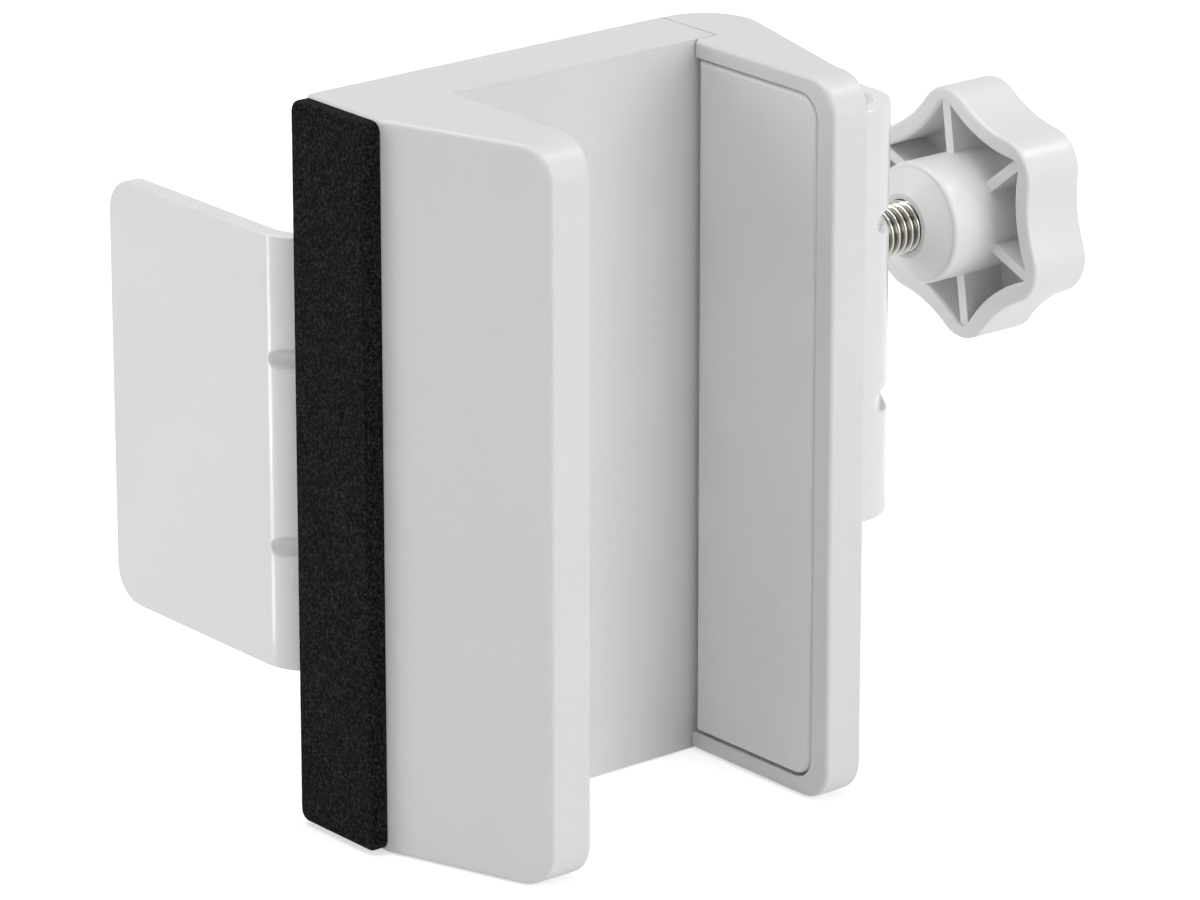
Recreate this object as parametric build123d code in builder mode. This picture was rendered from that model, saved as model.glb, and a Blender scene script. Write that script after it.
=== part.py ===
from build123d import *
import math
import os

# Clamp-on panel holder, millimetres, +Z up, +Y away from the panel channel.
# Origin: centre of the grip pad's face, on the clamp screw's axis, which is the X axis.

# steel frame: a U whose two flanges point back
STEEL_T = 2.5
FRAME_WIDTH = 106.8
FRAME_HEIGHT = 60.0
FLANGE_END_Y = 11.9
BEND_R = 7.8
FLANGE_CORNER_R = 5.0
THROAT_Y = -27.2
GRIP_PAD_T = 2.0
GRIP_PAD_Y = -20.0
GUSSET_Z = 13.0
GUSSET_LEG = 7.0
GUSSET_T = 3.6
DENT_R = 1.8
DENT_OUT = 0.4
DENT_EDGE_R = 0.4
STEEL_EDGE_R = 0.35

FLANGE_IN_X = -GRIP_PAD_T
FLANGE_OUT_X = FLANGE_IN_X - STEEL_T
NUT_FLANGE_OUT_X = FLANGE_OUT_X + FRAME_WIDTH
NUT_FLANGE_IN_X = NUT_FLANGE_OUT_X - STEEL_T
BACK_Y = THROAT_Y - STEEL_T

# panel channel
HEIGHT = 100.0
CHANNEL_X = 12.4
CHANNEL_GAP = 40.3
FLOOR_DEPTH = 11.8
JAW_REACH = 28.0
WALL = 2.2
TIP_CORNER_R = 5.0
EDGE_R = 0.7
SIDE_X = -2.6
SIDE_FRONT_Y = -45.2
TIP_T = 6.5
OVERLAP = 3.5
RUN_GAP = 0.18

FLOOR_Y = BACK_Y - FLOOR_DEPTH
TIP_Y = FLOOR_Y - JAW_REACH
JAW_X = CHANNEL_X + CHANNEL_GAP
SEAM_X = JAW_X + OVERLAP
TOP_Z = HEIGHT / 2

# jaw pads, each in a shallow recess that runs from the channel's floor to near the tip
PAD_T = 1.5
PAD_GAP = 0.3
PAD_ROOT_GAP = 0.8
PAD_RIM_TIP = 3.2
PAD_RIM_END = 2.4
PAD_CORNER_R = 3.5
PAD_EDGE_R = 0.7

# foam strip
FOAM_T = 2.2
FOAM_FRONT_Y = -45.5
FOAM_REAR_Y = -29.3
FOAM_INSET = 0.4
FOAM_CORNER_R = 1.3
FOAM_EDGE_R = 0.5

# sliding jaw
JAW_TRAVEL = 26.0
JAW_TIP_T = 6.1
JAW_ROOT_T = 15.3
JAW_FLARE_Y = -63.5
JAW_FLARE_R = 15.0
JAW_BACK_R = 8.0
TONGUE_T = 3.0
TONGUE_LENGTH = 30.0
TONGUE_HEIGHT = 24.0
TONGUE_Z = 24.0
TONGUE_GAP = 0.15
TONGUE_FRONT_Y = FLOOR_Y + WALL + 0.6

# fasteners
COVER_T = 2.0
SHELL_SCREWS = [(18.0, 22.0), (18.0, -22.0), (40.0, 0.0)]
BOSS_R = 4.4
INSERT_R = 2.8
INSERT_LENGTH = 6.0
INSERT_SINK = 3.5
M4_R = 2.0
M4_CLEAR_R = 2.25
M4_HEAD_R = 3.8
LOCK_X = 60.8
LOCK_Z = 18.0
LOCK_SCREWS = [(LOCK_X, LOCK_Z), (LOCK_X, -LOCK_Z)]
WASHER_R = 4.5
WASHER_T = 0.9
SPRING_T = 1.0

# clamp screw, M8, with its nut, knob and foot
SCREW_R = 3.95
NUT_BORE_R = 4.0
NUT_R = 5.5
NUT_FLANGE_R = 10.0
NUT_FLANGE_T = 2.4
NUT_BARREL_LENGTH = 9.0
FOOT_FACE_X = 55.0
FOOT_PAD_T = 3.0
FOOT_PAD_R = 12.0
FOOT_RIM_X = 56.5
FOOT_R = 13.5
FOOT_POCKET_R = 7.0
FOOT_PLATE_X = 60.0
FOOT_BACK_X = 62.0
FOOT_HUB_R = 7.5
SHOULDER_X = 65.1
NECK_R = 2.8
NECK_HOLE_R = 2.85
NECK_END_X = 58.3
RING_X = 59.0
RING_T = 0.7
RING_GROOVE_R = 2.1
RING_R = 5.0
HUB_FACE_X = 129.4
HUB_R = 9.0
HUB_EDGE_R = 0.7
HUB_TIP_X = 127.2
HUB_TIP_R = 4.8
RIM_X = 136.9
KNOB_BACK_X = 147.3
KNOB_BLANK_R = 25.0
VALLEY_FLOOR_R = 16.2
VALLEY_R = 20.0
LOBE_R = 5.8
HOLLOW_LOBE_R = 1.5
LOBES = 6
LOBE_ANGLE = 81.7
KNOB_WALL = 2.8
KNOB_FLOOR_T = 2.6
RIB_T = 1.6
RIB_DROP = 0.5
RIM_EDGE_R = 0.6
KNOB_EDGE_R = 1.0
KNOB_INSERT_X = 132.0
KNOB_INSERT_END_X = 143.5
KNOB_INSERT_R = 6.0
SCREW_END_X = 143.0

os.makedirs("parts", exist_ok=True)


def front_plane(y):
    """A plane facing the front, -Y; an extrusion goes forwards from it."""
    return Plane.XZ.offset(-y)


def side_plane(x):
    """A plane facing +X, with Y across and Z up."""
    return Plane.YZ.offset(x)


def finish(part, name):
    part.label = name
    export_step(part, f"parts/{name}.step")


# the shell's angled outer wall leans in towards the tip
TIP_OUT_X = CHANNEL_X - TIP_T
LEAN = (TIP_OUT_X - SIDE_X) / (SIDE_FRONT_Y - TIP_Y)
CORE_END_Y = TIP_Y + 7.5
CORE_X = CHANNEL_X - PAD_T - 2.0


def lean_x(y):
    """Where the inside of the angled wall is at this y."""
    return SIDE_X + LEAN * (SIDE_FRONT_Y - y) + WALL * 1.05


# fixed jaw shell: the left jaw and the channel's floor in one moulding, hollow and open at the back
with BuildPart() as fixed_jaw_shell:
    with BuildSketch(Plane.XY.offset(-TOP_Z)):
        with BuildLine():
            Polyline(
                (SIDE_X, BACK_Y),
                (SIDE_X, SIDE_FRONT_Y),
                (TIP_OUT_X, TIP_Y),
                (CHANNEL_X, TIP_Y),
                (CHANNEL_X, FLOOR_Y),
                (SEAM_X, FLOOR_Y),
                (SEAM_X, BACK_Y),
                close=True,
            )
        make_face()
    extrude(amount=HEIGHT)
    fillet(fixed_jaw_shell.edges().filter_by(Axis.X).group_by(Axis.Y)[0], TIP_CORNER_R)
    outer_edges = [
        edge
        for edge in fixed_jaw_shell.edges()
        if edge.center().X < SEAM_X - 0.01
        and (edge.center() - Vector(CHANNEL_X, FLOOR_Y, 0)).length > 0.01
        and not (abs(edge.center().Y - FLOOR_Y) < 0.01 and edge.center().X > CHANNEL_X)
    ]
    fillet(outer_edges, EDGE_R)
    # the web's core, then the jaw's core in four bays between its ribs
    with BuildSketch(front_plane(BACK_Y)):
        with Locations(((CORE_X + SEAM_X - WALL) / 2, 0)):
            Rectangle(SEAM_X - WALL - CORE_X, HEIGHT - 2 * WALL)
    extrude(amount=FLOOR_DEPTH - WALL, mode=Mode.SUBTRACT)
    for bay in range(4):
        bay_pitch = (HEIGHT - 2 * WALL) / 4
        with BuildSketch(Plane.XY.offset(-TOP_Z + WALL + bay * bay_pitch + 0.7)):
            with BuildLine():
                Polyline(
                    (SIDE_X + WALL, BACK_Y - COVER_T),
                    (SIDE_X + WALL, SIDE_FRONT_Y),
                    (lean_x(CORE_END_Y), CORE_END_Y),
                    (CORE_X, CORE_END_Y),
                    (CORE_X, BACK_Y - COVER_T),
                    close=True,
                )
            make_face()
        extrude(amount=bay_pitch - 1.4, mode=Mode.SUBTRACT)
    # seat for the back cover
    with BuildSketch(front_plane(BACK_Y)):
        with Locations(((SIDE_X + SEAM_X) / 2, 0)):
            Rectangle(SEAM_X - SIDE_X - 2 * WALL, HEIGHT - 2 * WALL)
    extrude(amount=COVER_T, mode=Mode.SUBTRACT)
    # screw bosses with holes for the threaded inserts
    with BuildSketch(front_plane(BACK_Y - COVER_T)):
        with Locations(SHELL_SCREWS):
            Circle(BOSS_R)
    extrude(amount=FLOOR_DEPTH - COVER_T - WALL)
    with BuildSketch(front_plane(BACK_Y - COVER_T)):
        with Locations(SHELL_SCREWS):
            Circle(INSERT_R)
    extrude(amount=INSERT_LENGTH + 1.0, mode=Mode.SUBTRACT)
    # slots in the end wall for the sliding jaw's two tongues
    with BuildSketch(side_plane(SEAM_X)):
        with Locations(
            (TONGUE_FRONT_Y + TONGUE_T / 2, TONGUE_Z),
            (TONGUE_FRONT_Y + TONGUE_T / 2, -TONGUE_Z),
        ):
            Rectangle(TONGUE_T + 2 * TONGUE_GAP, TONGUE_HEIGHT + 2 * TONGUE_GAP)
    extrude(amount=-WALL - 0.5, mode=Mode.SUBTRACT)
    # recess for the jaw pad
    with BuildSketch(side_plane(CHANNEL_X)) as pad_recess:
        with Locations(((TIP_Y + PAD_RIM_TIP + FLOOR_Y) / 2, 0)):
            Rectangle(JAW_REACH - PAD_RIM_TIP, HEIGHT - 2 * PAD_RIM_END)
        fillet(pad_recess.vertices().group_by(Axis.X)[0], PAD_CORNER_R)
    extrude(amount=-PAD_T, mode=Mode.SUBTRACT)
finish(fixed_jaw_shell.part, "fixed_jaw_shell")

# fixed jaw back cover: a flat plate let into the shell's open back
with BuildPart() as fixed_jaw_back_cover:
    with BuildSketch(front_plane(BACK_Y)):
        with Locations(((SIDE_X + SEAM_X) / 2, 0)):
            Rectangle(SEAM_X - SIDE_X - 2 * WALL - 2 * RUN_GAP, HEIGHT - 2 * WALL - 2 * RUN_GAP)
    extrude(amount=COVER_T)
    with BuildSketch(front_plane(BACK_Y)):
        with Locations(SHELL_SCREWS):
            Circle(M4_CLEAR_R)
    extrude(amount=COVER_T, mode=Mode.SUBTRACT)
finish(fixed_jaw_back_cover.part, "fixed_jaw_back_cover")

# fixed jaw pad: a soft sheet stuck in the fixed jaw's recess
PAD_TIP_Y = TIP_Y + PAD_RIM_TIP + PAD_GAP
PAD_ROOT_Y = FLOOR_Y - PAD_ROOT_GAP
with BuildPart() as fixed_jaw_pad:
    with BuildSketch(side_plane(CHANNEL_X - PAD_T)) as pad_outline:
        with Locations(((PAD_TIP_Y + PAD_ROOT_Y) / 2, 0)):
            Rectangle(PAD_ROOT_Y - PAD_TIP_Y, HEIGHT - 2 * PAD_RIM_END - 2 * PAD_GAP)
        fillet(pad_outline.vertices().group_by(Axis.X)[0], PAD_CORNER_R)
    extrude(amount=PAD_T)
    fillet(fixed_jaw_pad.faces().sort_by(Axis.X)[-1].edges(), PAD_EDGE_R)
finish(fixed_jaw_pad.part, "fixed_jaw_pad")

# foam strip: closed-cell foam stuck to the shell's flat outer side
with BuildPart() as foam_strip:
    with BuildSketch(side_plane(SIDE_X - FOAM_T)):
        with Locations(((FOAM_FRONT_Y + FOAM_REAR_Y) / 2, 0)):
            RectangleRounded(FOAM_REAR_Y - FOAM_FRONT_Y, HEIGHT - 2 * FOAM_INSET, FOAM_CORNER_R)
    extrude(amount=FOAM_T)
    fillet(foam_strip.faces().sort_by(Axis.X)[0].edges(), FOAM_EDGE_R)
finish(foam_strip.part, "foam_strip")

# steel frame: one folded plate with pressed gussets in both bends
with BuildPart() as steel_frame:
    with BuildSketch(Plane.XY.offset(-FRAME_HEIGHT / 2)):
        with BuildLine():
            Polyline(
                (FLANGE_OUT_X, FLANGE_END_Y),
                (FLANGE_OUT_X, BACK_Y),
                (NUT_FLANGE_OUT_X, BACK_Y),
                (NUT_FLANGE_OUT_X, FLANGE_END_Y),
                (NUT_FLANGE_IN_X, FLANGE_END_Y),
                (NUT_FLANGE_IN_X, THROAT_Y),
                (FLANGE_IN_X, THROAT_Y),
                (FLANGE_IN_X, FLANGE_END_Y),
                close=True,
            )
        make_face()
    extrude(amount=FRAME_HEIGHT)
    upright_edges = steel_frame.edges().filter_by(Axis.Z)
    fillet(upright_edges.group_by(Axis.Y)[0], BEND_R)
    fillet(steel_frame.edges().filter_by(Axis.Z).filter_by_position(Axis.Y, THROAT_Y - 0.1, THROAT_Y + 0.1),
           BEND_R - STEEL_T)
    fillet(steel_frame.edges().filter_by(Axis.X).group_by(Axis.Y)[-1], FLANGE_CORNER_R)
    # the plate's edges are tumbled; each fillet runs on round the whole tangent outline
    for face_x in (FLANGE_OUT_X, FLANGE_IN_X):
        end_edge = steel_frame.edges().filter_by(Axis.Z).filter_by_position(Axis.X, face_x - 0.1, face_x + 0.1)
        fillet(end_edge.sort_by(Axis.Y)[-1], STEEL_EDGE_R)
    for side, corner_x, inner_x in ((1, FLANGE_OUT_X, FLANGE_IN_X), (-1, NUT_FLANGE_OUT_X, NUT_FLANGE_IN_X)):
        for gusset_z in (GUSSET_Z, -GUSSET_Z):
            with BuildSketch(Plane.XY.offset(gusset_z - GUSSET_T / 2)):
                with BuildLine():
                    Polyline(
                        (inner_x + side * 0.6, THROAT_Y + 0.6),
                        (inner_x - side * 0.5, THROAT_Y + GUSSET_LEG),
                        (inner_x, THROAT_Y + GUSSET_LEG),
                        (inner_x + side * GUSSET_LEG, THROAT_Y),
                        (inner_x + side * GUSSET_LEG, THROAT_Y - 0.5),
                        close=True,
                    )
                make_face()
            extrude(amount=GUSSET_T)
            # the dent lies across the outside of the bend, at 45 degrees to web and flange
            bend_x = corner_x + side * BEND_R
            reach = (BEND_R + DENT_OUT) / math.sqrt(2)
            dent_plane = Plane(
                origin=(bend_x - side * reach, BACK_Y + BEND_R - reach, gusset_z),
                x_dir=(0, 0, 1),
                z_dir=(side, -1, 0),
            )
            with BuildSketch(dent_plane):
                Circle(DENT_R)
            extrude(amount=12, both=True, mode=Mode.SUBTRACT)
            fillet(steel_frame.edges(Select.LAST), DENT_EDGE_R)
    # countersunk holes for the shell screws, drilled from the throat
    with BuildSketch(front_plane(THROAT_Y)):
        with Locations(SHELL_SCREWS):
            Circle(M4_CLEAR_R)
    extrude(amount=STEEL_T, mode=Mode.SUBTRACT)
    for hole_x, hole_z in SHELL_SCREWS:
        with BuildSketch(Plane.XY.offset(hole_z)):
            with BuildLine():
                Polyline(
                    (hole_x, THROAT_Y),
                    (hole_x + M4_HEAD_R + 0.15, THROAT_Y),
                    (hole_x + M4_CLEAR_R, THROAT_Y - M4_HEAD_R - 0.15 + M4_CLEAR_R),
                    (hole_x, THROAT_Y - M4_HEAD_R - 0.15 + M4_CLEAR_R),
                    close=True,
                )
            make_face()
        revolve(axis=Axis((hole_x, THROAT_Y, hole_z), (0, 1, 0)), mode=Mode.SUBTRACT)
    # slots that the sliding jaw's lock screws run in
    with BuildSketch(front_plane(THROAT_Y)):
        with Locations((LOCK_X + JAW_TRAVEL / 2, LOCK_Z), (LOCK_X + JAW_TRAVEL / 2, -LOCK_Z)):
            SlotCenterToCenter(JAW_TRAVEL + 0.4, 2 * M4_CLEAR_R)
    extrude(amount=STEEL_T, mode=Mode.SUBTRACT)
    # hole for the clamp nut's barrel
    with BuildSketch(side_plane(NUT_FLANGE_OUT_X)):
        Circle(NUT_R)
    extrude(amount=-STEEL_T, mode=Mode.SUBTRACT)
finish(steel_frame.part, "steel_frame")

# shell inserts: brass, knurled, pressed into the shell's bosses
with BuildPart() as shell_inserts:
    with BuildSketch(front_plane(BACK_Y - COVER_T)):
        with Locations(SHELL_SCREWS):
            Circle(INSERT_R)
            Circle(M4_R, mode=Mode.SUBTRACT)
    extrude(amount=INSERT_LENGTH)
finish(shell_inserts.part, "shell_inserts")

# shell screws: countersunk M4, through the steel web and the cover into the inserts
HEAD_CONE = M4_HEAD_R - M4_R
with BuildPart() as shell_screws:
    for screw_x, screw_z in SHELL_SCREWS:
        screw_y = THROAT_Y - 0.1
        with BuildSketch(Plane.XY.offset(screw_z)):
            with BuildLine():
                Polyline(
                    (screw_x, screw_y - 1.2),
                    (screw_x + 1.25, screw_y - 1.2),
                    (screw_x + 1.25, screw_y),
                    (screw_x + M4_HEAD_R, screw_y),
                    (screw_x + M4_R - 0.05, screw_y - HEAD_CONE),
                    (screw_x + M4_R - 0.05, screw_y - 9.6),
                    (screw_x + M4_R - 0.55, screw_y - 10.2),
                    (screw_x, screw_y - 10.2),
                    close=True,
                )
            make_face()
        revolve(axis=Axis((screw_x, screw_y, screw_z), (0, 1, 0)))
finish(shell_screws.part, "shell_screws")

# sliding jaw shell: the right jaw, with two tongues that run inside the channel's floor
with BuildPart() as sliding_jaw_shell:
    with BuildSketch(Plane.XY.offset(-TOP_Z)):
        with BuildLine():
            Polyline(
                (JAW_X, TIP_Y),
                (JAW_X + JAW_TIP_T, TIP_Y),
                (JAW_X + JAW_TIP_T, JAW_FLARE_Y),
                (JAW_X + JAW_ROOT_T, BACK_Y - RUN_GAP),
                (SEAM_X + RUN_GAP, BACK_Y - RUN_GAP),
                (SEAM_X + RUN_GAP, FLOOR_Y - RUN_GAP),
                (JAW_X, FLOOR_Y - RUN_GAP),
                close=True,
            )
        make_face()
    extrude(amount=HEIGHT)
    jaw_corners = sliding_jaw_shell.edges().filter_by(Axis.Z)
    fillet(jaw_corners.sort_by(Axis.X)[-1], JAW_BACK_R)
    fillet(jaw_corners.filter_by_position(Axis.Y, JAW_FLARE_Y - 0.1, JAW_FLARE_Y + 0.1), JAW_FLARE_R)
    fillet(sliding_jaw_shell.edges().filter_by(Axis.X).group_by(Axis.Y)[0], TIP_CORNER_R)
    jaw_edges = [
        edge
        for edge in sliding_jaw_shell.edges()
        if edge.center().X > SEAM_X + RUN_GAP + 0.01
        or (edge.center().Y < FLOOR_Y - 1.0)
    ]
    fillet(jaw_edges, EDGE_R)
    # cores from the back, above, between and below the two solid blocks for the lock screws
    for low_z, high_z in ((-TOP_Z + WALL, -26.0), (-10.0, 10.0), (26.0, TOP_Z - WALL)):
        with BuildSketch(Plane.XY.offset(low_z)):
            with BuildLine():
                Polyline(
                    (SEAM_X + WALL, BACK_Y),
                    (SEAM_X + WALL, FLOOR_Y - WALL),
                    (JAW_X + PAD_T + 2.0, FLOOR_Y - WALL),
                    (JAW_X + PAD_T + 2.0, -54.0),
                    (JAW_X + 6.2, -54.0),
                    (JAW_X + 8.9, -44.0),
                    (JAW_X + 10.5, -38.0),
                    (JAW_X + 9.6, BACK_Y - 3.0),
                    (JAW_X + 8.0, BACK_Y),
                    close=True,
                )
            make_face()
        extrude(amount=high_z - low_z, mode=Mode.SUBTRACT)
    # tongues
    with BuildSketch(side_plane(SEAM_X + WALL)):
        with Locations(
            (TONGUE_FRONT_Y + TONGUE_T / 2, TONGUE_Z),
            (TONGUE_FRONT_Y + TONGUE_T / 2, -TONGUE_Z),
        ):
            Rectangle(TONGUE_T, TONGUE_HEIGHT)
    extrude(amount=-TONGUE_LENGTH - WALL)
    # holes for the lock screws' inserts
    with BuildSketch(front_plane(BACK_Y)):
        with Locations(LOCK_SCREWS):
            Circle(INSERT_R)
    extrude(amount=INSERT_SINK + INSERT_LENGTH, mode=Mode.SUBTRACT)
    # recess for the jaw pad
    with BuildSketch(side_plane(JAW_X)) as jaw_recess:
        with Locations(((TIP_Y + PAD_RIM_TIP + FLOOR_Y) / 2, 0)):
            Rectangle(JAW_REACH - PAD_RIM_TIP, HEIGHT - 2 * PAD_RIM_END)
        fillet(jaw_recess.vertices().group_by(Axis.X)[0], PAD_CORNER_R)
    extrude(amount=PAD_T, mode=Mode.SUBTRACT)
finish(sliding_jaw_shell.part, "sliding_jaw_shell")

# sliding jaw pad: a soft sheet stuck in the sliding jaw's recess
with BuildPart() as sliding_jaw_pad:
    with BuildSketch(side_plane(JAW_X + PAD_T)) as jaw_pad_outline:
        with Locations(((PAD_TIP_Y + PAD_ROOT_Y) / 2, 0)):
            Rectangle(PAD_ROOT_Y - PAD_TIP_Y, HEIGHT - 2 * PAD_RIM_END - 2 * PAD_GAP)
        fillet(jaw_pad_outline.vertices().group_by(Axis.X)[0], PAD_CORNER_R)
    extrude(amount=-PAD_T)
    fillet(sliding_jaw_pad.faces().sort_by(Axis.X)[0].edges(), PAD_EDGE_R)
finish(sliding_jaw_pad.part, "sliding_jaw_pad")

# jaw inserts: brass, pressed deep into the sliding jaw's two solid blocks
with BuildPart() as jaw_inserts:
    with BuildSketch(front_plane(BACK_Y - INSERT_SINK)):
        with Locations(LOCK_SCREWS):
            Circle(INSERT_R)
            Circle(M4_R, mode=Mode.SUBTRACT)
    extrude(amount=INSERT_LENGTH)
finish(jaw_inserts.part, "jaw_inserts")

# lock washers, spring washers and lock screws behind the web hold the sliding jaw where it is set
with BuildPart() as jaw_lock_washers:
    with BuildSketch(front_plane(THROAT_Y + WASHER_T)):
        with Locations(LOCK_SCREWS):
            Circle(WASHER_R)
            Circle(M4_CLEAR_R, mode=Mode.SUBTRACT)
    extrude(amount=WASHER_T)
finish(jaw_lock_washers.part, "jaw_lock_washers")

SPRING_Y = THROAT_Y + WASHER_T
with BuildPart() as jaw_spring_washers:
    with BuildSketch(front_plane(SPRING_Y + SPRING_T)):
        with Locations(LOCK_SCREWS):
            Circle(WASHER_R - 0.9)
            Circle(M4_CLEAR_R, mode=Mode.SUBTRACT)
        with Locations((LOCK_X, LOCK_Z + 3.0), (LOCK_X, -LOCK_Z + 3.0)):
            Rectangle(0.7, 3.0, mode=Mode.SUBTRACT, rotation=15)
    extrude(amount=SPRING_T)
finish(jaw_spring_washers.part, "jaw_spring_washers")

LOCK_HEAD_Y = SPRING_Y + SPRING_T
LOCK_HEAD_H = 2.6
LOCK_LENGTH = 13.5
with BuildPart() as jaw_lock_screws:
    with BuildSketch(front_plane(LOCK_HEAD_Y + LOCK_HEAD_H)):
        with Locations(LOCK_SCREWS):
            Circle(M4_HEAD_R)
    extrude(amount=LOCK_HEAD_H)
    fillet(jaw_lock_screws.faces().filter_by(Axis.Y).group_by(Axis.Y)[-1].edges(), 1.2)
    with BuildSketch(front_plane(LOCK_HEAD_Y)):
        with Locations(LOCK_SCREWS):
            Circle(M4_R - 0.05)
    extrude(amount=LOCK_LENGTH)
    with BuildSketch(front_plane(LOCK_HEAD_Y + LOCK_HEAD_H)):
        with Locations(LOCK_SCREWS):
            RegularPolygon(1.25, 6, major_radius=False)
    extrude(amount=1.6, mode=Mode.SUBTRACT)
finish(jaw_lock_screws.part, "jaw_lock_screws")

# grip pad: rubber, stuck to the inside of the flange opposite the screw
with BuildPart() as grip_pad:
    with BuildSketch(side_plane(FLANGE_IN_X)):
        with Locations(((FLANGE_END_Y + GRIP_PAD_Y) / 2, 0)):
            RectangleRounded(FLANGE_END_Y - GRIP_PAD_Y - 2.4, 50.0, 3.0)
    extrude(amount=GRIP_PAD_T)
    fillet(grip_pad.faces().sort_by(Axis.X)[-1].edges(), 0.5)
finish(grip_pad.part, "grip_pad")

# clamp nut: a flanged weld nut, its flange inside so that the clamping load seats it
with BuildPart() as clamp_nut:
    with BuildSketch(side_plane(NUT_FLANGE_IN_X)):
        Circle(NUT_FLANGE_R)
    extrude(amount=-NUT_FLANGE_T)
    fillet(clamp_nut.edges().filter_by(GeomType.CIRCLE).sort_by(Axis.X)[0], 0.6)
    with BuildSketch(side_plane(NUT_FLANGE_OUT_X)):
        Circle(NUT_R - 0.02)
    extrude(amount=-NUT_BARREL_LENGTH)
    with BuildSketch(side_plane(NUT_FLANGE_OUT_X)):
        Circle(NUT_BORE_R)
    extrude(amount=-NUT_BARREL_LENGTH, mode=Mode.SUBTRACT)
finish(clamp_nut.part, "clamp_nut")

# clamp screw: an M8 stud, plain here at its outside diameter, with a turned neck for the foot
with BuildPart() as clamp_screw:
    with BuildSketch(Plane.XY):
        with BuildLine():
            Polyline(
                (NECK_END_X, 0),
                (NECK_END_X, NECK_R - 0.4),
                (NECK_END_X + 0.3, NECK_R),
                (RING_X, NECK_R),
                (RING_X, RING_GROOVE_R),
                (RING_X + RING_T, RING_GROOVE_R),
                (RING_X + RING_T, NECK_R),
                (SHOULDER_X, NECK_R),
                (SHOULDER_X, SCREW_R - 0.6),
                (SHOULDER_X + 0.6, SCREW_R),
                (SCREW_END_X, SCREW_R),
                (SCREW_END_X, 0),
                close=True,
            )
        make_face()
    revolve(axis=Axis.X)
finish(clamp_screw.part, "clamp_screw")

# foot ring: an open retaining ring in the neck's groove, behind the foot's plate
with BuildPart() as foot_ring:
    with BuildSketch(side_plane(RING_X + 0.02)):
        Circle(RING_R)
        Circle(RING_GROOVE_R + 0.02, mode=Mode.SUBTRACT)
        with Locations((0, -RING_R / 2)):
            Rectangle(3.0, RING_R, mode=Mode.SUBTRACT)
    extrude(amount=RING_T - 0.04)
finish(foot_ring.part, "foot_ring")

# pressure foot: a turned steel cup that swivels on the screw's neck
with BuildPart() as pressure_foot:
    with BuildSketch(Plane.XY):
        with BuildLine():
            Polyline(
                (FOOT_RIM_X, FOOT_PAD_R + 0.1),
                (FOOT_RIM_X, FOOT_R),
                (FOOT_BACK_X - 1.2, FOOT_R),
                (FOOT_BACK_X, FOOT_R - 1.2),
                (FOOT_BACK_X, FOOT_HUB_R),
                (SHOULDER_X - 0.15, FOOT_HUB_R - 0.8),
                (SHOULDER_X - 0.15, NECK_HOLE_R),
                (FOOT_PLATE_X, NECK_HOLE_R),
                (FOOT_PLATE_X, FOOT_POCKET_R),
                (FOOT_FACE_X + FOOT_PAD_T, FOOT_POCKET_R),
                (FOOT_FACE_X + FOOT_PAD_T, FOOT_PAD_R + 0.1),
                close=True,
            )
        make_face()
    revolve(axis=Axis.X)
finish(pressure_foot.part, "pressure_foot")

# foot pad: a rubber disc pressed into the cup
with BuildPart() as foot_pad:
    with BuildSketch(side_plane(FOOT_FACE_X)):
        Circle(FOOT_PAD_R)
    extrude(amount=FOOT_PAD_T)
    fillet(foot_pad.edges().filter_by(GeomType.CIRCLE).sort_by(Axis.X)[0], 0.5)
finish(foot_pad.part, "foot_pad")

# knob insert: the brass bush that the knob is moulded round, fixed on the screw's end
with BuildPart() as knob_insert:
    with BuildSketch(side_plane(KNOB_INSERT_X)):
        Circle(KNOB_INSERT_R)
    extrude(amount=KNOB_INSERT_END_X - KNOB_INSERT_X)
    with BuildSketch(side_plane(KNOB_INSERT_X)):
        Circle(SCREW_R + 0.02)
    extrude(amount=SCREW_END_X - KNOB_INSERT_X, mode=Mode.SUBTRACT)
finish(knob_insert.part, "knob_insert")

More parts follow.
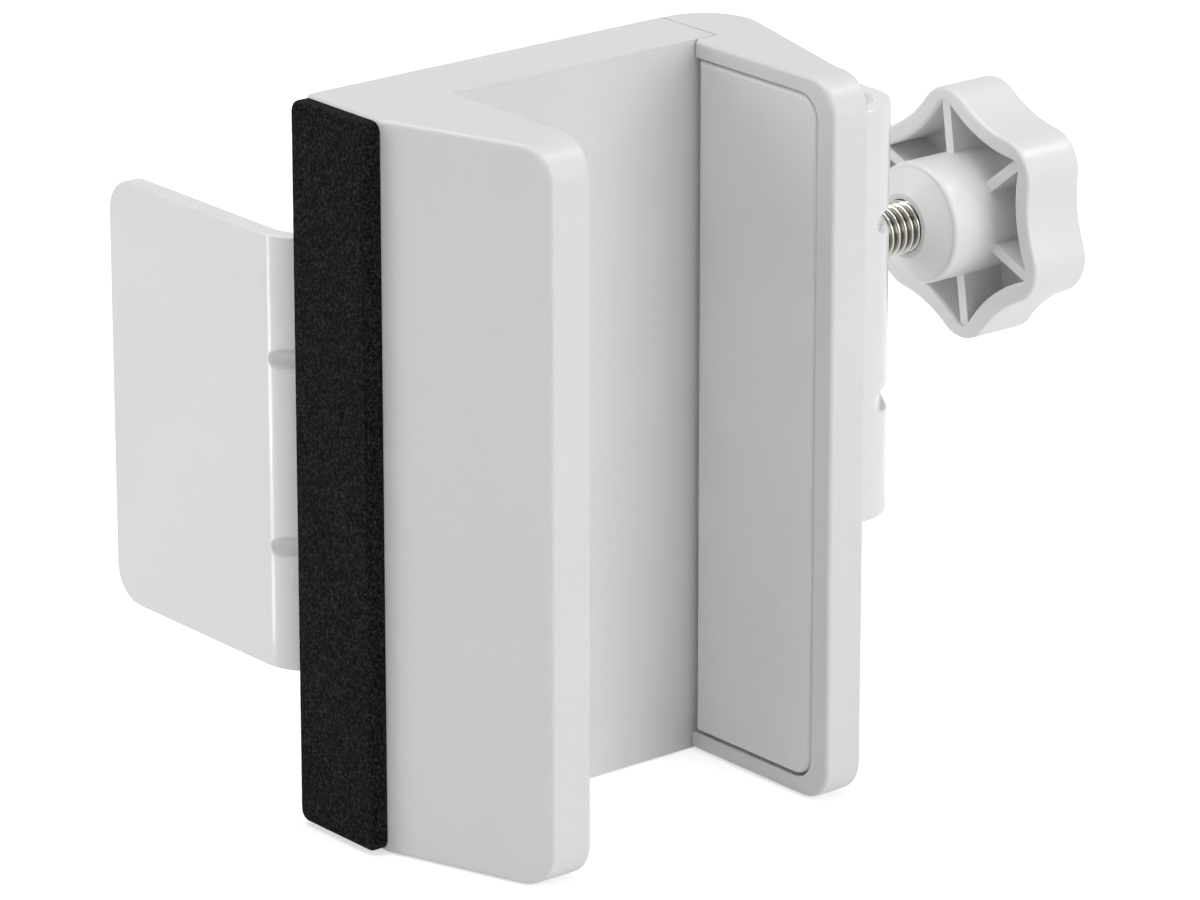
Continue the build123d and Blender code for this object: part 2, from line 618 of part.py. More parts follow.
# star knob: six lobes, hollow on the screw's side, with a hub and a rib to each lobe
VALLEY_ANGLE = LOBE_ANGLE + 180 / LOBES
with BuildPart() as star_knob:
    with BuildSketch(side_plane(RIM_X)) as knob_outline:
        Circle(KNOB_BLANK_R)
        with PolarLocations(VALLEY_FLOOR_R + VALLEY_R, LOBES, start_angle=VALLEY_ANGLE):
            Circle(VALLEY_R, mode=Mode.SUBTRACT)
        fillet(knob_outline.vertices(), LOBE_R)
    extrude(amount=KNOB_BACK_X - RIM_X)
    fillet(star_knob.faces().sort_by(Axis.X)[-1].edges(), KNOB_EDGE_R)
    with BuildSketch(side_plane(RIM_X)) as knob_hollow:
        Circle(KNOB_BLANK_R)
        with PolarLocations(VALLEY_FLOOR_R + VALLEY_R, LOBES, start_angle=VALLEY_ANGLE):
            Circle(VALLEY_R + KNOB_WALL, mode=Mode.SUBTRACT)
        fillet(knob_hollow.vertices(), HOLLOW_LOBE_R)
    extrude(amount=KNOB_BACK_X - RIM_X - KNOB_FLOOR_T, mode=Mode.SUBTRACT)
    fillet(star_knob.faces().sort_by(Axis.X)[0].edges(), RIM_EDGE_R)
    with BuildSketch(side_plane(RIM_X + RIB_DROP)):
        with PolarLocations((HUB_R + VALLEY_FLOOR_R) / 2 + 0.4, LOBES, start_angle=LOBE_ANGLE):
            Rectangle(VALLEY_FLOOR_R - HUB_R + 1.6, RIB_T)
    extrude(amount=KNOB_BACK_X - RIM_X - KNOB_FLOOR_T)
    with BuildSketch(side_plane(HUB_FACE_X)):
        Circle(HUB_R)
    extrude(amount=KNOB_BACK_X - HUB_FACE_X - 1.0)
    fillet(star_knob.edges().filter_by(GeomType.CIRCLE).sort_by(Axis.X)[0], HUB_EDGE_R)
    # the hub's face is a low cone up to the screw
    with BuildSketch(Plane.XY):
        with BuildLine():
            Polyline(
                (HUB_TIP_X, 0),
                (HUB_TIP_X, HUB_TIP_R),
                (HUB_FACE_X, HUB_R - HUB_EDGE_R),
                (HUB_FACE_X + 1.0, HUB_R - HUB_EDGE_R),
                (HUB_FACE_X + 1.0, 0),
                close=True,
            )
        make_face()
    revolve(axis=Axis.X)
    with BuildSketch(side_plane(HUB_TIP_X)):
        Circle(SCREW_R + 0.05)
    extrude(amount=KNOB_INSERT_X - HUB_TIP_X, mode=Mode.SUBTRACT)
    with BuildSketch(side_plane(KNOB_INSERT_X)):
        Circle(KNOB_INSERT_R)
    extrude(amount=KNOB_INSERT_END_X - KNOB_INSERT_X, mode=Mode.SUBTRACT)
finish(star_knob.part, "star_knob")
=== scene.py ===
import math

import bmesh
import bpy
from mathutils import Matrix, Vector, noise


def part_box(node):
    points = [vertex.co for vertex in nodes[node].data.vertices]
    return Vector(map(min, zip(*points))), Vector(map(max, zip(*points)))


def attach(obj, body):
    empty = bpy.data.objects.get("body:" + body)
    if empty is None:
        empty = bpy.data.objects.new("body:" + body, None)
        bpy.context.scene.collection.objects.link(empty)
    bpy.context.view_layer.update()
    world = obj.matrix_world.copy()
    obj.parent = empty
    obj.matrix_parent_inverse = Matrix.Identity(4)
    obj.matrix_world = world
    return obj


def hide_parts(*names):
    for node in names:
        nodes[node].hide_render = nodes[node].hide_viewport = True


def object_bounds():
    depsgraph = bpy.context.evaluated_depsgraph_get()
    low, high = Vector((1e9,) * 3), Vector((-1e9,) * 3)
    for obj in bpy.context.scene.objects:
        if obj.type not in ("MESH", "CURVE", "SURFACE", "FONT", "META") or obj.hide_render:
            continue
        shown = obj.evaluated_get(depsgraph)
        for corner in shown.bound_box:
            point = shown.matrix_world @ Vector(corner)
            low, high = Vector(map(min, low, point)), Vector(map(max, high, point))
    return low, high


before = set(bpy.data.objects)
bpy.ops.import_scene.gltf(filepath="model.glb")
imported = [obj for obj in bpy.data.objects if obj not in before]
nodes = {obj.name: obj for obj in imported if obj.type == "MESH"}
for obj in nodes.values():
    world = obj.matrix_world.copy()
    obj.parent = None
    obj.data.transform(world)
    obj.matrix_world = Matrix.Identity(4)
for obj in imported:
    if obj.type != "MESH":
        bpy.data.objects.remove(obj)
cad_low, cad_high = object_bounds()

# ---------------------------------------------------------------- fixed jaw shell
# The left jaw and the channel's floor, one injection moulding in light warm grey ABS with a fine
# spark-eroded grain. Its back cover is the same plastic, let into the open back.
MM = 0.001


class Wire:
    """One output of a shader node. Arithmetic on it adds Math nodes."""

    def __init__(self, finish, socket):
        self.finish = finish
        self.socket = socket

    def maths(self, operation, first, second):
        return self.finish.node("ShaderNodeMath", {"operation": operation}, {0: first, 1: second})

    def __add__(self, other):
        return self.maths("ADD", self, other)

    def __sub__(self, other):
        return self.maths("SUBTRACT", self, other)

    def __rsub__(self, other):
        return self.maths("SUBTRACT", other, self)

    def __mul__(self, other):
        return self.maths("MULTIPLY", self, other)

    __radd__ = __add__
    __rmul__ = __mul__


class Finish:
    """The node tree of a new material, or of the world, written one node at a time."""

    def __init__(self, name, owner=None):
        self.material = owner or bpy.data.materials.new(name)
        self.material.use_nodes = True
        self.tree = self.material.node_tree
        self.tree.nodes.clear()

    def node(self, kind, settings=None, inputs=None, output=0):
        """Adds a node with its settings and inputs, and gives the wire from one output."""
        made = self.tree.nodes.new(kind)
        for key, value in (settings or {}).items():
            setattr(made, key, value)
        for key, value in (inputs or {}).items():
            if isinstance(value, Wire):
                self.tree.links.new(value.socket, made.inputs[key])
            else:
                made.inputs[key].default_value = value
        return Wire(self, made.outputs[output]) if made.outputs else None

    def place(self):
        """Where a point is on the object, in metres."""
        return self.node("ShaderNodeTexCoord", output="Object")

    def cloud(self, per_metre, detail=3.0, roughness=0.5):
        """Smooth noise from 0 to 1 with that many blotches per metre."""
        inputs = {
            "Vector": self.place(), "Scale": per_metre, "Detail": detail, "Roughness": roughness,
        }
        return self.node("ShaderNodeTexNoise", None, inputs)

    def ramp(self, value, low, high):
        """0 below low, 1 above high."""
        inputs = {"Value": value, "From Min": low, "From Max": high}
        return self.node("ShaderNodeMapRange", None, inputs)

    def mix(self, factor, first, second):
        """A colour between two others, each a wire or three numbers."""
        factor_in, first_in, second_in, colour_out = 0, 6, 7, 2
        inputs = {factor_in: factor}
        for key, colour in ((first_in, first), (second_in, second)):
            inputs[key] = colour if isinstance(colour, Wire) else (*colour, 1.0)
        return self.node("ShaderNodeMix", {"data_type": "RGBA"}, inputs, output=colour_out)

    def bump(self, height, depth, under=None):
        """A normal from a height from 0 to 1, as deep as depth in metres, over another normal."""
        inputs = {"Height": height, "Distance": depth, "Strength": 1.0}
        if under is not None:
            inputs["Normal"] = under
        return self.node("ShaderNodeBump", None, inputs)

    def surface(self, **inputs):
        """Ends the material in one Principled shader; an underscore stands for a space."""
        named = {key.replace("_", " "): value for key, value in inputs.items()}
        shader = self.node("ShaderNodeBsdfPrincipled", None, named)
        self.node("ShaderNodeOutputMaterial", None, {"Surface": shader})
        return self.material


def coat_with(material, *names):
    """Gives CAD nodes a material."""
    for name in names:
        nodes[name].data.materials.clear()
        nodes[name].data.materials.append(material)


PLASTIC_IOR = 1.49
SINK_DEPTH = 0.05 * MM


def moulded(name, light, dark, shine, grain_depth):
    """Injection-moulded plastic: a faint cloudiness, a fine eroded grain and slight sink."""
    finish = Finish(name)
    cloudy = finish.cloud(45.0, detail=4.0, roughness=0.6)
    grain = finish.cloud(2600.0, detail=3.0, roughness=0.7)
    sink = finish.cloud(160.0, detail=2.0)
    lightness = finish.ramp(cloudy * 0.45 + grain * 0.55, low=0.35, high=0.65)
    skin = finish.bump(sink, SINK_DEPTH)
    skin = finish.bump(grain, grain_depth, under=skin)
    gloss = finish.ramp(cloudy, low=0.25, high=0.75) * 0.06 + grain * 0.05 + shine
    return finish.surface(
        Base_Color=finish.mix(lightness, dark, light),
        Roughness=gloss,
        IOR=PLASTIC_IOR,
        Normal=skin,
    )


SHELL_LIGHT = (0.735, 0.735, 0.728)
SHELL_DARK = (0.700, 0.700, 0.694)
SHELL_ROUGHNESS = 0.36
SHELL_GRAIN = 0.018 * MM
shell_plastic = moulded("shell_plastic", SHELL_LIGHT, SHELL_DARK, SHELL_ROUGHNESS, SHELL_GRAIN)
coat_with(shell_plastic, "fixed_jaw_shell", "fixed_jaw_back_cover")

# ---------------------------------------------------------------- sliding jaw shell
# The right jaw, a second moulding in the same plastic. It meets the shell at a thin seam
# and runs on two tongues inside the channel's floor.
coat_with(shell_plastic, "sliding_jaw_shell")

# ---------------------------------------------------------------- jaw pads
# Grey soft-touch sheets stuck in a shallow recess in each jaw. They are smoother and a shade
# darker than the plastic, with the faint waviness of cast elastomer; their colour here is set
# lighter than the plastic's all the same, as painted light that lifts the shade they sit in.
# painted light: both pad greys are set above the plastic's, to lift the shade the pads sit in
# inside the channel
PAD_LIFTED_LIGHT = (0.795, 0.795, 0.790)
PAD_LIFTED_DARK = (0.760, 0.760, 0.755)
PAD_ROUGHNESS = 0.46
PAD_WAVE = 0.06 * MM
PAD_GRAIN = 0.006 * MM
pad_finish = Finish("jaw_pad_sheet")
pad_cloud = pad_finish.cloud(60.0, detail=4.0, roughness=0.6)
pad_grain = pad_finish.cloud(5200.0, detail=2.0, roughness=0.6)
pad_wave = pad_finish.bump(pad_finish.cloud(110.0, detail=2.0), PAD_WAVE)
jaw_pad_sheet = pad_finish.surface(
    Base_Color=pad_finish.mix(pad_finish.ramp(pad_cloud, 0.3, 0.7), PAD_LIFTED_DARK, PAD_LIFTED_LIGHT),
    Roughness=pad_grain * 0.08 + PAD_ROUGHNESS,
    Normal=pad_finish.bump(pad_grain, PAD_GRAIN, under=pad_wave),
)
coat_with(jaw_pad_sheet, "fixed_jaw_pad", "sliding_jaw_pad")

# ---------------------------------------------------------------- foam strip
# A strip of black closed-cell foam stuck to the shell's side. It is cut from sheet, so its
# faces show broken cells and its long edges are a little ragged and rounded.
FOAM_CORNER = 1.4 * MM
FOAM_STEP = 0.42 * MM
FOAM_ROUND = 0.55 * MM
FOAM_RAGGED = 0.035 * MM
FOAM_SHAKE = 0.8
FOAM_SHAKES_PER_METRE = 1900.0
FOAM_SEED = 7
GLUED_LAYER = 0.1 * MM
FOAM_RINGS = 4


def rounded_outline(width, height, corner, step):
    """Points about step apart round a rectangle with rounded corners, centred on zero."""
    points = []
    quarter = max(4, round(corner * math.pi / 2 / step))
    for turn, (across, up) in enumerate(((1, 1), (-1, 1), (-1, -1), (1, -1))):
        centre = Vector((across * (width / 2 - corner), up * (height / 2 - corner)))
        for i in range(quarter + 1):
            angle = math.pi / 2 * (turn + i / quarter)
            points.append(centre + corner * Vector((math.cos(angle), math.sin(angle))))
    dense = []
    for start, end in zip(points, points[1:] + points[:1]):
        pieces = max(1, round((end - start).length / step))
        dense += [start.lerp(end, i / pieces) for i in range(pieces)]
    return dense


foam_low, foam_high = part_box("foam_strip")
foam_mid = (foam_low + foam_high) / 2
foam_outline = rounded_outline(
    foam_high.y - foam_low.y - 2 * FOAM_RAGGED,
    foam_high.z - foam_low.z - 2 * FOAM_RAGGED,
    FOAM_CORNER,
    FOAM_STEP,
)
foam_thick = foam_high.x - foam_low.x
foam = bmesh.new()


def foam_ring(depth, inset):
    """One loop of the strip, that far from the glued side and that far in from the outline."""
    loop = []
    for point in foam_outline:
        shrunk = Vector((
            math.copysign(max(abs(point.x) - inset, 0.0), point.x),
            math.copysign(max(abs(point.y) - inset, 0.0), point.y),
        ))
        place = (foam_high.x - depth, foam_mid.y + shrunk.x, foam_mid.z + shrunk.y)
        loop.append(foam.verts.new(place))
    return loop


straight_depth = foam_thick - FOAM_ROUND - FOAM_RAGGED
foam_loops = [foam_ring(0.0, 0.0)]
for i in range(1, FOAM_RINGS + 1):
    foam_loops.append(foam_ring(straight_depth * i / FOAM_RINGS, 0.0))
for i in range(1, FOAM_RINGS + 1):
    angle = math.pi / 2 * i / FOAM_RINGS
    foam_loops.append(foam_ring(
        straight_depth + FOAM_ROUND * math.sin(angle), FOAM_ROUND * (1 - math.cos(angle))
    ))
for lower, upper in zip(foam_loops, foam_loops[1:]):
    for i in range(len(lower)):
        j = (i + 1) % len(lower)
        foam.faces.new((lower[i], lower[j], upper[j], upper[i]))
foam.faces.new(list(reversed(foam_loops[0])))
foam.faces.new(foam_loops[-1])
bmesh.ops.triangulate(foam, faces=[face for face in foam.faces if len(face.verts) > 4])
bmesh.ops.recalc_face_normals(foam, faces=foam.faces)
foam_mesh = bpy.data.meshes.new("foam_strip_cells")
foam.to_mesh(foam_mesh)
foam.free()
# unless it is given a seed, the noise starts from the clock and each run differs
noise.seed_set(FOAM_SEED)
for vertex in foam_mesh.vertices:
    if vertex.co.x < foam_high.x - GLUED_LAYER:
        shake = noise.noise_vector(vertex.co * FOAM_SHAKES_PER_METRE)
        vertex.co += shake * FOAM_RAGGED * FOAM_SHAKE
for polygon in foam_mesh.polygons:
    polygon.use_smooth = True
foam_piece = bpy.data.objects.new("foam_strip_cells", foam_mesh)
bpy.context.scene.collection.objects.link(foam_piece)

FOAM_DEEP = (0.0010, 0.0010, 0.0010)
FOAM_FACE = (0.0030, 0.0030, 0.0030)
FOAM_WALL = (0.038, 0.038, 0.038)
CELL_DEPTH = 0.22 * MM
foam_finish = Finish("closed_cell_foam")
fine_cells = foam_finish.cloud(2600.0, detail=5.0, roughness=0.8)
cell_walls = foam_finish.ramp(fine_cells, low=0.46, high=0.64)
foam_body = foam_finish.mix(foam_finish.cloud(300.0, detail=2.0), FOAM_DEEP, FOAM_FACE)
foam_material = foam_finish.surface(
    Base_Color=foam_finish.mix(cell_walls, foam_body, FOAM_WALL),
    Roughness=0.96 - cell_walls * 0.2,
    Specular_IOR_Level=0.06,
    Normal=foam_finish.bump(fine_cells, CELL_DEPTH),
)
foam_mesh.materials.append(foam_material)
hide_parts("foam_strip")
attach(foam_piece, "frame")

# ---------------------------------------------------------------- steel frame
# One folded plate, 2.5 mm thick, with two gussets pressed into each bend. It is powder
# coated in the plastic's grey, which flows out glossier and keeps a slight orange peel.
PAINT_LIGHT = (0.770, 0.770, 0.763)
PAINT_DARK = (0.740, 0.740, 0.734)
PAINT_ROUGHNESS = 0.32
ORANGE_PEEL = 0.016 * MM
paint = Finish("powder_coat")
paint_cloud = paint.cloud(50.0, detail=3.0)
orange_peel = paint.cloud(820.0, detail=2.0, roughness=0.45)
powder_coat = paint.surface(
    Base_Color=paint.mix(paint.ramp(paint_cloud, 0.3, 0.7), PAINT_DARK, PAINT_LIGHT),
    Roughness=paint_cloud * 0.08 + PAINT_ROUGHNESS,
    Coat_Weight=0.8,
    Coat_Roughness=0.14,
    Normal=paint.bump(orange_peel, ORANGE_PEEL),
)
coat_with(powder_coat, "steel_frame")

# ---------------------------------------------------------------- zinc-plated fastenings
# The countersunk shell screws, the sliding jaw's lock screws with their washers, the weld nut
# and the pressure foot are bright zinc-plated steel, faintly blue, with fine marks.
MARK_DEPTH = 0.004 * MM


def plated(name, bright, dull, shine):
    """Metal with fine marks and a patchy bright plate."""
    finish = Finish(name)
    patch = finish.cloud(260.0, detail=4.0, roughness=0.6)
    marks = finish.cloud(5200.0, detail=2.0, roughness=0.6)
    return finish.surface(
        Base_Color=finish.mix(finish.ramp(patch, 0.3, 0.7), dull, bright),
        Metallic=1.0,
        Roughness=patch * 0.14 + marks * 0.06 + shine,
        Normal=finish.bump(marks, MARK_DEPTH),
    )


ZINC_BRIGHT = (0.66, 0.68, 0.70)
ZINC_DULL = (0.54, 0.56, 0.58)
ZINC_ROUGHNESS = 0.20
zinc_plate = plated("zinc_plate", ZINC_BRIGHT, ZINC_DULL, ZINC_ROUGHNESS)
coat_with(
    zinc_plate,
    "shell_screws", "jaw_lock_screws", "jaw_lock_washers", "jaw_spring_washers",
    "clamp_nut", "pressure_foot", "foot_ring",
)

# ---------------------------------------------------------------- brass inserts
# Knurled brass bushes pressed into the mouldings take the M4 screws, and the knob is
# moulded round a plain one.
BRASS_BRIGHT = (0.78, 0.60, 0.30)
BRASS_DULL = (0.62, 0.46, 0.22)
BRASS_ROUGHNESS = 0.26
turned_brass = plated("turned_brass", BRASS_BRIGHT, BRASS_DULL, BRASS_ROUGHNESS)
coat_with(turned_brass, "shell_inserts", "jaw_inserts", "knob_insert")

# ---------------------------------------------------------------- grip pad and foot pad
# Black rubber, one sheet inside the flange and one disc in the foot, so that the clamp
# doesn't mark what it holds. Both are moulded with a fine matt texture.
RUBBER_DARK = (0.022, 0.022, 0.023)
RUBBER_DUSTY = (0.050, 0.050, 0.050)
RUBBER_ROUGHNESS = 0.62
RUBBER_GRAIN = 0.03 * MM
rubber_finish = Finish("grip_rubber")
rubber_cloud = rubber_finish.cloud(90.0, detail=4.0, roughness=0.6)
rubber_grain = rubber_finish.cloud(2600.0, detail=3.0, roughness=0.6)
dust = rubber_finish.ramp(rubber_cloud * 0.6 + rubber_grain * 0.4, low=0.45, high=0.75)
grip_rubber = rubber_finish.surface(
    Base_Color=rubber_finish.mix(dust, RUBBER_DARK, RUBBER_DUSTY),
    Roughness=rubber_grain * 0.12 + RUBBER_ROUGHNESS,
    Normal=rubber_finish.bump(rubber_grain, RUBBER_GRAIN),
)
coat_with(grip_rubber, "grip_pad", "foot_pad")

# ---------------------------------------------------------------- clamp screw
# An M8 stud with a rolled thread of 1.25 mm pitch, nickel plated. The thread runs from the
# knob to the turned neck that the foot swivels on.
PITCH = 1.25 * MM
THREAD_DEPTH = 0.70 * MM
THREAD_CREST = 0.16
THREAD_ROOT = 0.22
FLANK_ROUNDING = 0.35
STEPS_PER_PITCH = 10
STEPS_ROUND = 56
RUN_OUT = 1.6 * MM
SHOULDER_GAP = 0.15 * MM
NECK_RADIUS = 2.8 * MM
NECK_CHAMFER = 0.4 * MM
NECK_CHAMFER_LENGTH = 0.3 * MM
GROOVE_RADIUS = 2.1 * MM
GROOVE_GAP = 0.02 * MM

screw_low, screw_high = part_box("clamp_screw")
ring_low, ring_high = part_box("foot_ring")
foot_low, foot_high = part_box("pressure_foot")
screw_radius = screw_high.y
shoulder_x = foot_high.x + SHOULDER_GAP
thread_end_x = screw_high.x


def thread_radius(x, turn):
    """How far the thread's surface is from the axis, at a place along it and a turn about it."""
    phase = ((x - shoulder_x) / PITCH - turn) % 1.0
    slope = 0.5 - THREAD_CREST / 2 - THREAD_ROOT / 2
    away = abs(phase - 0.5)
    rise = (away - THREAD_ROOT / 2) / slope
    rise = min(max(rise, 0.0), 1.0)
    rounded = rise * rise * (3 - 2 * rise)
    rise = rounded * FLANK_ROUNDING + rise * (1.0 - FLANK_ROUNDING)
    run = min((x - shoulder_x) / RUN_OUT, (thread_end_x - x) / RUN_OUT, 1.0)
    return screw_radius - THREAD_DEPTH * (1.0 - rise * max(run, 0.0))


stud = bmesh.new()
stud_profile = [
    (screw_low.x, NECK_RADIUS - NECK_CHAMFER),
    (screw_low.x + NECK_CHAMFER_LENGTH, NECK_RADIUS),
    (ring_low.x - GROOVE_GAP, NECK_RADIUS),
    (ring_low.x - GROOVE_GAP, GROOVE_RADIUS),
    (ring_high.x + GROOVE_GAP, GROOVE_RADIUS),
    (ring_high.x + GROOVE_GAP, NECK_RADIUS),
    (shoulder_x, NECK_RADIUS),
]
turn_angles = [2 * math.pi * i / STEPS_ROUND for i in range(STEPS_ROUND)]
stud_rings = []
for x, radius in stud_profile:
    stud_rings.append([
        stud.verts.new((x, radius * math.cos(angle), radius * math.sin(angle)))
        for angle in turn_angles
    ])
thread_steps = round((thread_end_x - shoulder_x) / PITCH * STEPS_PER_PITCH)
for step in range(thread_steps + 1):
    x = shoulder_x + (thread_end_x - shoulder_x) * step / thread_steps
    ring = []
    for i, angle in enumerate(turn_angles):
        radius = thread_radius(x, i / STEPS_ROUND)
        ring.append(stud.verts.new((x, radius * math.cos(angle), radius * math.sin(angle))))
    stud_rings.append(ring)
for near, far in zip(stud_rings, stud_rings[1:]):
    for i in range(STEPS_ROUND):
        j = (i + 1) % STEPS_ROUND
        stud.faces.new((near[i], near[j], far[j], far[i]))
stud.faces.new(list(reversed(stud_rings[0])))
stud.faces.new(stud_rings[-1])
bmesh.ops.recalc_face_normals(stud, faces=stud.faces)
stud_mesh = bpy.data.meshes.new("threaded_stud")
stud.to_mesh(stud_mesh)
stud.free()
for polygon in stud_mesh.polygons:
    polygon.use_smooth = len(polygon.vertices) == 4
stud_piece = bpy.data.objects.new("threaded_stud", stud_mesh)
bpy.context.scene.collection.objects.link(stud_piece)

# The thread's roots are painted near-black: painted shade in the grooves, standing in for the
# shade and dark reflections that the white surround doesn't give.
ROOT_PAINTED_SHADE = (0.075, 0.071, 0.064)
NICKEL_BRIGHT = (0.66, 0.65, 0.60)
NICKEL_DULL = (0.42, 0.41, 0.37)
NICKEL_ROUGHNESS = 0.12
NICKEL_MARKS = 0.003 * MM
ACROSS_AXIS = (0.0, 1.0, 1.0)
nickel = Finish("nickel_plate")
off_axis = nickel.node(
    "ShaderNodeVectorMath", {"operation": "MULTIPLY"}, {0: nickel.place(), 1: ACROSS_AXIS}
)
reach = nickel.node(
    "ShaderNodeVectorMath", {"operation": "LENGTH"}, {0: off_axis}, output="Value"
)
# 0 down in the thread's roots, where the painted shade goes, 1 up the flanks and on the crests
clear_of_root_shade = nickel.ramp(
    reach, low=screw_radius - 0.85 * THREAD_DEPTH, high=screw_radius - 0.10 * THREAD_DEPTH
)
nickel_patch = nickel.cloud(420.0, detail=4.0, roughness=0.6)
nickel_face = nickel.mix(nickel.ramp(nickel_patch, 0.3, 0.7), NICKEL_DULL, NICKEL_BRIGHT)
nickel_plate = nickel.surface(
    Base_Color=nickel.mix(clear_of_root_shade, ROOT_PAINTED_SHADE, nickel_face),
    Metallic=1.0,
    Roughness=nickel_patch * 0.10 + NICKEL_ROUGHNESS,
    Normal=nickel.bump(nickel.cloud(5200.0, detail=2.0, roughness=0.6), NICKEL_MARKS),
)
stud_mesh.materials.append(nickel_plate)
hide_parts("clamp_screw")
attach(stud_piece, "screw")

# ---------------------------------------------------------------- star knob
# Six lobes, moulded round the brass bush, with a hub and a rib to each lobe on the
# hollow side. The plastic is a shade glossier than the jaws'.
KNOB_LIGHT = (0.810, 0.810, 0.805)
KNOB_DARK = (0.780, 0.780, 0.775)
KNOB_ROUGHNESS = 0.30
KNOB_GRAIN = 0.010 * MM
knob_plastic = moulded("knob_plastic", KNOB_LIGHT, KNOB_DARK, KNOB_ROUGHNESS, KNOB_GRAIN)
coat_with(knob_plastic, "star_knob")

# ---------------------------------------------------------------- floor and background
# A plain pale floor under the channel, which keeps the object's soft shadow, and a
# white surround, both as white to the camera and in reflections.
FLOOR_GAP = 0.2 * MM
FLOOR_HALF = 1.4
FLOOR_LIFT = 0.55
WHITE = (1.0, 1.0, 1.0, 1.0)
FLOOR_GREY = (0.86, 0.86, 0.86, 1.0)
floor_z = cad_low.z - FLOOR_GAP
floor_corners = [
    (x * FLOOR_HALF, y * FLOOR_HALF, floor_z) for x, y in ((-1, -1), (1, -1), (1, 1), (-1, 1))
]
floor_mesh = bpy.data.meshes.new("floor")
floor_mesh.from_pydata(floor_corners, [], [(0, 1, 2, 3)])
floor = bpy.data.objects.new("floor", floor_mesh)
bpy.context.scene.collection.objects.link(floor)
floor_finish = Finish("pale_floor")
floor_diffuse = floor_finish.node("ShaderNodeBsdfDiffuse", None, {"Color": FLOOR_GREY})
floor_lift = floor_finish.node(
    "ShaderNodeEmission", None, {"Color": WHITE, "Strength": FLOOR_LIFT}
)
seen = floor_finish.node("ShaderNodeLightPath", output="Is Camera Ray")
mirrored = floor_finish.node("ShaderNodeLightPath", output="Is Glossy Ray")
dark = floor_finish.node("ShaderNodeEmission", None, {"Strength": 0.0})
lift = floor_finish.node("ShaderNodeMixShader", None, {0: seen + mirrored, 1: dark, 2: floor_lift})
floor_shader = floor_finish.node("ShaderNodeAddShader", None, {0: floor_diffuse, 1: lift})
floor_finish.node("ShaderNodeOutputMaterial", None, {"Surface": floor_shader})
floor_mesh.materials.append(floor_finish.material)

world = bpy.data.worlds.new("white_surround")
bpy.context.scene.world = world
SKY_LIGHT = 0.14
SKY_BLUE = (0.97, 0.985, 1.0, 1.0)
sky = Finish("white_surround", world)
sky_seen = sky.node("ShaderNodeLightPath", output="Is Camera Ray")
sky_mirrored = sky.node("ShaderNodeLightPath", output="Is Glossy Ray")
sky_through = sky.node("ShaderNodeLightPath", output="Is Transmission Ray")
white_sky = sky.node("ShaderNodeBackground", None, {"Color": WHITE, "Strength": 1.0})
soft_sky = sky.node("ShaderNodeBackground", None, {"Color": SKY_BLUE, "Strength": SKY_LIGHT})
either_sky = sky.node(
    "ShaderNodeMixShader",
    None,
    {0: sky_seen + sky_mirrored + sky_through, 1: soft_sky, 2: white_sky},
)
sky.node("ShaderNodeOutputWorld", None, {"Surface": either_sky})


def softbox(name, place, aim, width, height, watts):
    """A rectangular studio lamp at place, pointing at aim. Sizes and places are in metres."""
    lamp = bpy.data.lights.new(name, "AREA")
    lamp.shape = "RECTANGLE"
    lamp.size = width
    lamp.size_y = height
    lamp.energy = watts
    made = bpy.data.objects.new(name, lamp)
    made.location = place
    made.rotation_euler = (Vector(aim) - Vector(place)).to_track_quat("-Z", "Y").to_euler()
    made.visible_camera = False
    bpy.context.scene.collection.objects.link(made)
    return made


middle = (cad_low + cad_high) / 2
for side, offset, width, height, watts in (
    ("top", (-0.1, 0.1, 1.1), 1.0, 1.0, 7.9),
    ("front_right", (0.35, -1.2, 0.35), 0.8, 0.8, 8.7),
    ("front_left", (-0.6, -1.1, 0.4), 0.8, 0.8, 0.8),
    ("left", (-1.25, -0.1, 0.3), 0.6, 0.9, 1.25),
    ("back_left", (-1.1, 0.8, 0.35), 0.6, 0.9, 6.1),
):
    softbox(side + "_softbox", middle + Vector(offset), middle, width, height, watts)


def glint(name, place, aim, width, height, watts):
    """A small softbox hidden from diffuse light, so that it shows only in a gloss."""
    lamp = softbox(name, place, aim, width, height, watts)
    lamp.visible_diffuse = False
    return lamp


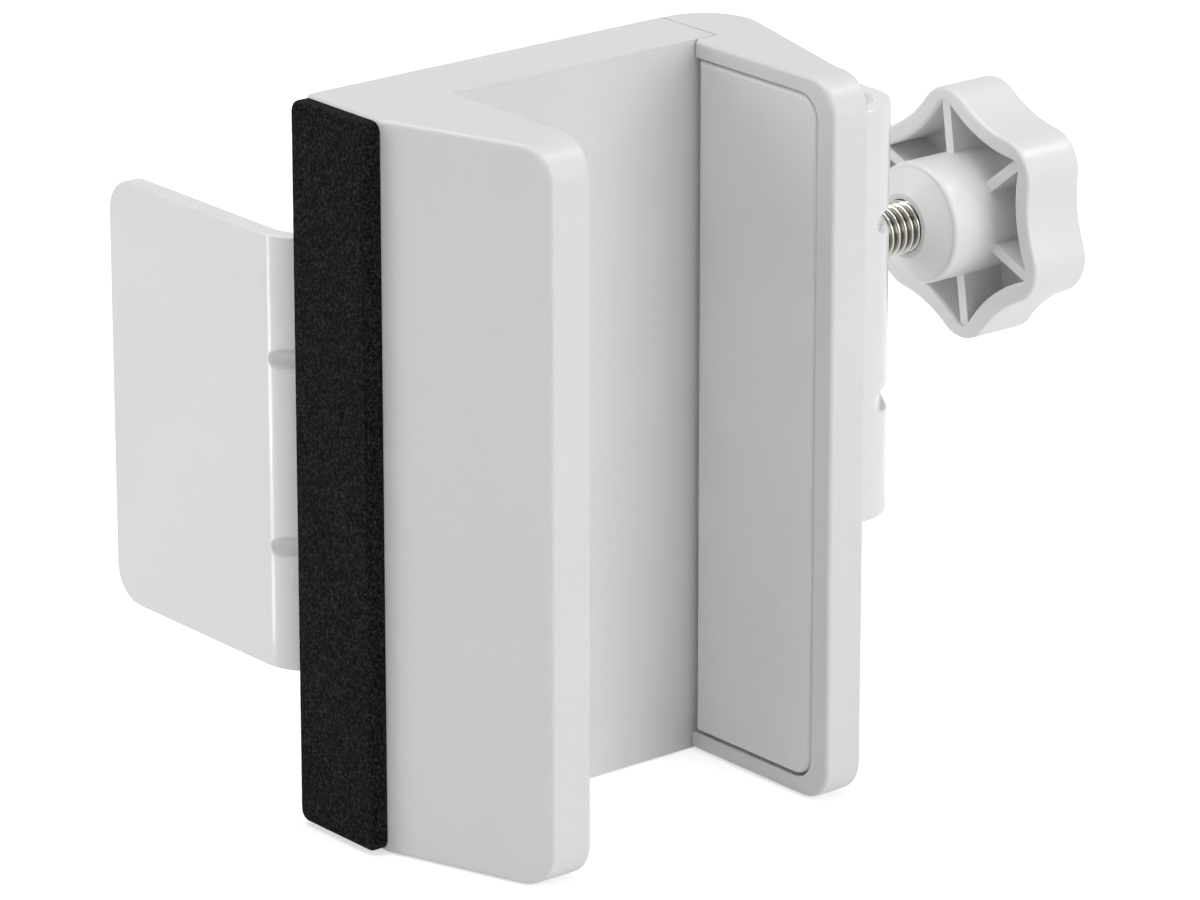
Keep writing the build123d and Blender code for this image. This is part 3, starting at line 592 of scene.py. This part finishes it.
BAR_HEIGHT = 3.0 * MM


def floor_glint(name, start, end, width, watts):
    """A narrow bar of light just over the floor, facing up. Places are in millimetres."""
    start = Vector((*start, 0.0)) * MM
    end = Vector((*end, 0.0)) * MM
    run = end - start
    bar = glint(name, (start + end) / 2, middle, run.length, width * MM, watts)
    bar.location.z = floor_z + BAR_HEIGHT
    bar.rotation_euler = (math.pi, 0.0, math.atan2(run.y, run.x))


# the bars glint along the frame's left bend, the small softboxes in the channel's top rims
BARS_MEET = (-118.0, 42.0)
RIM_LAMP = 0.20
floor_glint("near_bend_glint", (-53.0, 4.0), BARS_MEET, width=8.0, watts=0.014)
floor_glint("far_bend_glint", BARS_MEET, (-232.0, 107.0), width=17.0, watts=0.070)
for edge, offset, watts in (
    ("channel", (0.60, -0.32, 0.73), 2.6),
    ("side", (-0.46, 0.36, 0.80), 2.2),
):
    glint(edge + "_rim_glint", middle + Vector(offset), middle, RIM_LAMP, RIM_LAMP, watts)

# ---------------------------------------------------------------- camera
# A long lens from the front left and a little above, level with no roll, so that the
# channel's uprights stay nearly parallel. The line of sight meets the object near its middle.
VIEW_AZIMUTH = math.radians(39.254)
VIEW_ELEVATION = math.radians(18.927)
VIEW_DISTANCE = 923.2 * MM
LENS_MM = 205.43
SENSOR_MM = 36.0
AIM = Vector((45.12, -31.06, -8.29)) * MM

sight = Vector((
    math.sin(VIEW_AZIMUTH) * math.cos(VIEW_ELEVATION),
    math.cos(VIEW_AZIMUTH) * math.cos(VIEW_ELEVATION),
    -math.sin(VIEW_ELEVATION),
))
camera_data = bpy.data.cameras.new("camera")
camera_data.lens = LENS_MM
camera_data.sensor_width = SENSOR_MM
camera_data.clip_start = 0.01
camera_data.clip_end = 50.0
camera = bpy.data.objects.new("camera", camera_data)
camera.location = AIM - sight * VIEW_DISTANCE
camera.rotation_euler = sight.to_track_quat("-Z", "Y").to_euler()
bpy.context.scene.collection.objects.link(camera)
bpy.context.scene.camera = camera
bpy.context.scene.view_settings.view_transform = "Standard"
